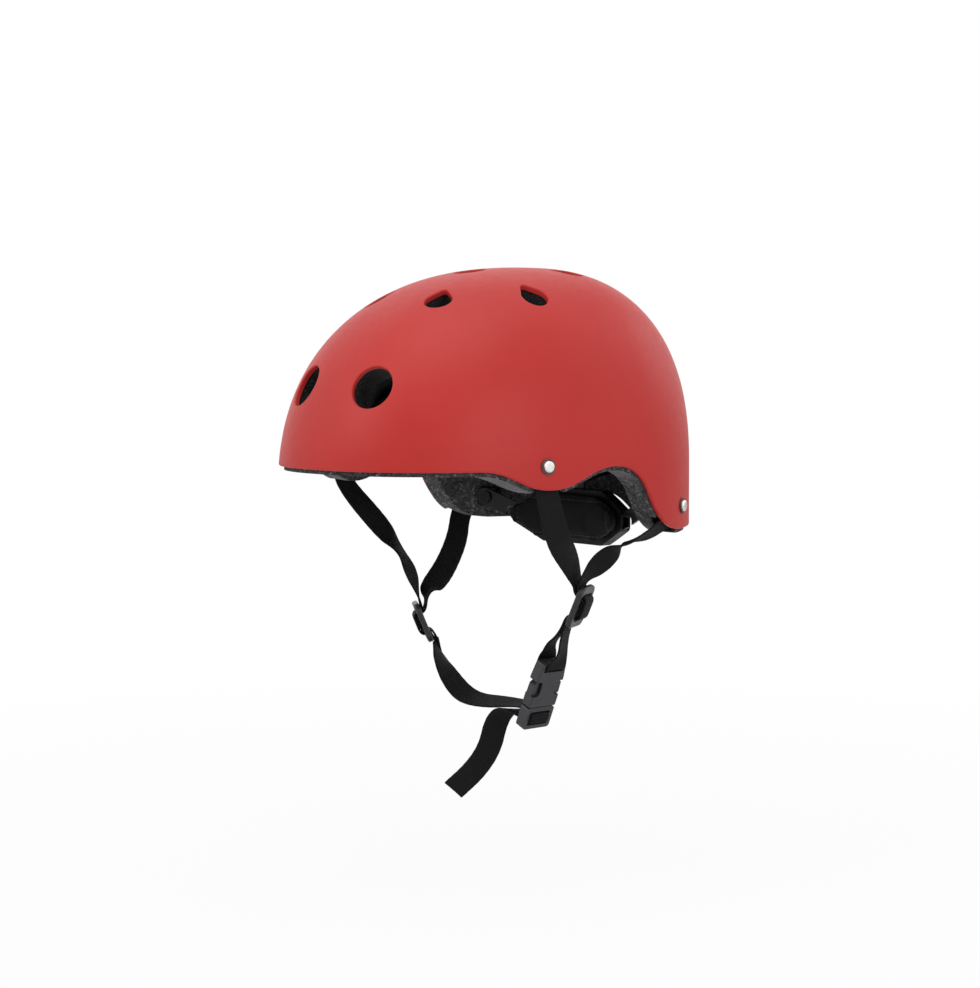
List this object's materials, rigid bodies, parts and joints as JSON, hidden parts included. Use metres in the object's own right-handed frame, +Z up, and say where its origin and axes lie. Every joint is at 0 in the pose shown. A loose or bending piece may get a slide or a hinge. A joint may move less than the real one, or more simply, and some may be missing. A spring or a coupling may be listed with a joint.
{
  "type": "water sports helmet",
  "caption": "Hard-shell water sports helmet with foam liner, pads, vent holes, a rear dial size adjuster and a webbing chin harness with a side-release buckle.",
  "frame": {"origin": "centre of the head opening at mid-length, on the plane of the front brim", "axes": "-Y towards the front of the helmet, +X towards the wearer's left, +Z up through the crown"},
  "size_m": [0.214, 0.2598, 0.3418],
  "materials": {
    "shell_plastic": "satin",
    "liner_foam": "matte, speckled",
    "bright_metal": "satin",
    "dark_metal": "satin",
    "pad_fabric": "knitted",
    "hook_tape": "napped",
    "black_plastic": "fine moulded grain",
    "pinion_plastic": "smooth",
    "flexible_plastic": "satin",
    "dial_plastic": "soft matte",
    "buckle_plastic": "satin",
    "webbing": "woven"
  },
  "bodies": {
    "helmet": {"outer_shell": "shell_plastic", "foam_liner": "liner_foam", "strap_rivets": "bright_metal", "rivet_washers": "bright_metal", "rivet_collars": "dark_metal", "brow_pad": "pad_fabric", "rear_pad": "pad_fabric", "side_pad_left": "pad_fabric", "side_pad_right": "pad_fabric", "crown_pad": "pad_fabric", "hook_discs": "hook_tape", "arm_anchor_left": "black_plastic", "arm_anchor_right": "black_plastic", "anchor_pins": "black_plastic", "hanger_button": "black_plastic", "rack_arm_left": "flexible_plastic", "rack_arm_right": "flexible_plastic", "hanger_strap": "flexible_plastic", "buckle_socket": "buckle_plastic", "left_front_webbing": "webbing", "left_rear_webbing": "webbing", "right_front_webbing": "webbing", "right_rear_webbing": "webbing", "adjuster_tail": "webbing"},
    "cradle": {"cradle_housing": "black_plastic", "cradle_cover": "black_plastic", "cradle_screws": "bright_metal", "nape_pad": "pad_fabric", "ratchet_ring": "black_plastic"},
    "dial": {"fit_dial": "dial_plastic", "dial_pinion": "pinion_plastic", "dial_screw": "bright_metal"},
    "plug": {"buckle_plug": "buckle_plastic"},
    "front_prong": {"front_prong": "buckle_plastic"},
    "rear_prong": {"rear_prong": "buckle_plastic"},
    "left_divider": {"divider_left": "buckle_plastic"},
    "right_divider": {"divider_right": "buckle_plastic"}
  },
  "joints": [
    {"name": "cradle_slide", "type": "slide", "parent": "helmet", "child": "cradle", "axis": [0, -1, 0], "range_m": [0, 0.0126], "deforming": ["rack_arm_left", "rack_arm_right", "hanger_strap"]},
    {"name": "fit_dial_turn", "type": "hinge", "parent": "cradle", "child": "dial", "pos_m": [0, 0.09, -0.038], "axis": [0, 1, 0], "range_deg": [0, 240]},
    {"name": "buckle_release", "type": "slide", "parent": "helmet", "child": "plug", "axis": [-0.4003, 0, -0.9164], "range_m": [0, 0.03], "deforming": ["right_front_webbing", "right_rear_webbing", "adjuster_tail", "front_prong", "rear_prong"]},
    {"name": "front_prong_squeeze", "type": "hinge", "parent": "plug", "child": "front_prong", "pos_m": [0.03516, 0.0099, -0.14982], "axis": [-0.9164, 0, 0.4003], "range_deg": [0, 6], "stiffness_Nm_per_rad": 0.3},
    {"name": "rear_prong_squeeze", "type": "hinge", "parent": "plug", "child": "rear_prong", "pos_m": [0.03516, 0.0251, -0.14982], "axis": [0.9164, 0, -0.4003], "range_deg": [0, 6], "stiffness_Nm_per_rad": 0.3},
    {"name": "left_divider_slide", "type": "slide", "parent": "helmet", "child": "left_divider", "axis": [0.3286, 0.1723, 0.9286], "range_m": [-0.008, 0.006], "deforming": ["left_front_webbing", "left_rear_webbing"]},
    {"name": "right_divider_slide", "type": "slide", "parent": "helmet", "child": "right_divider", "axis": [-0.2222, -0.3086, 0.9249], "range_m": [-0.008, 0.008], "deforming": ["right_front_webbing", "right_rear_webbing"]}
  ],
  "couplings": [
    {"joint": "cradle_slide", "follows": "fit_dial_turn", "m_per_rad": 0.003008}
  ]
}
